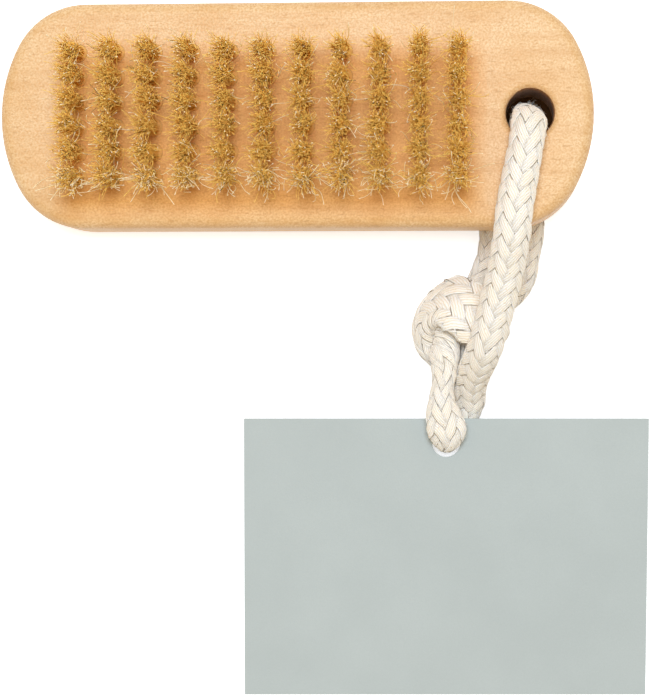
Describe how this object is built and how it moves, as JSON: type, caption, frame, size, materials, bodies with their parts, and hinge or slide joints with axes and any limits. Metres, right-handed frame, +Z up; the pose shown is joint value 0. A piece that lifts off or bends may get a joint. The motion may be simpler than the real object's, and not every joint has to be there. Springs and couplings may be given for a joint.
{
  "type": "nail brush",
  "caption": "Wooden nail brush with rows of bristle tufts, a braided hanging cord knotted through its hole, and a blank card tag.",
  "frame": {"origin": "On the table under the middle of the brush's block and bristles, without the cord and tag", "axes": "+X along the block to its hanging hole, +Z up the way the bristles point, -Y the side that the cord leaves from"},
  "size_m": [0.1108, 0.1187, 0.0325],
  "materials": {
    "wood": "fine-sanded pale wood, satin oil",
    "bristle": "natural plant fibre, dull sheen",
    "anchor_wire": "bright drawn wire",
    "cord": "undyed braided cotton",
    "card": "uncoated card, unprinted"
  },
  "bodies": {
    "brush": {"block": "wood", "tuft_column_1": "bristle", "tuft_column_2": "bristle", "tuft_column_3": "bristle", "tuft_column_4": "bristle", "tuft_column_5": "bristle", "tuft_column_6": "bristle", "tuft_column_7": "bristle", "tuft_column_8": "bristle", "tuft_column_9": "bristle", "tuft_column_10": "bristle", "tuft_column_11": "bristle", "anchor_column_1": "anchor_wire", "anchor_column_2": "anchor_wire", "anchor_column_3": "anchor_wire", "anchor_column_4": "anchor_wire", "anchor_column_5": "anchor_wire", "anchor_column_6": "anchor_wire", "anchor_column_7": "anchor_wire", "anchor_column_8": "anchor_wire", "anchor_column_9": "anchor_wire", "anchor_column_10": "anchor_wire", "anchor_column_11": "anchor_wire", "cord_tail": "cord", "cord_knot": "cord", "cord_tag_loop": "cord", "cord_front": "cord", "cord_through_hole": "cord", "cord_back": "cord"},
    "tag": {"hang_tag": "card"}
  },
  "joints": [
    {"name": "tag_turn", "type": "hinge", "parent": "brush", "child": "tag", "pos_m": [0.0256, -0.0556, 0.0047], "axis": [0, 0, 1], "range_deg": [-60, 16]}
  ]
}
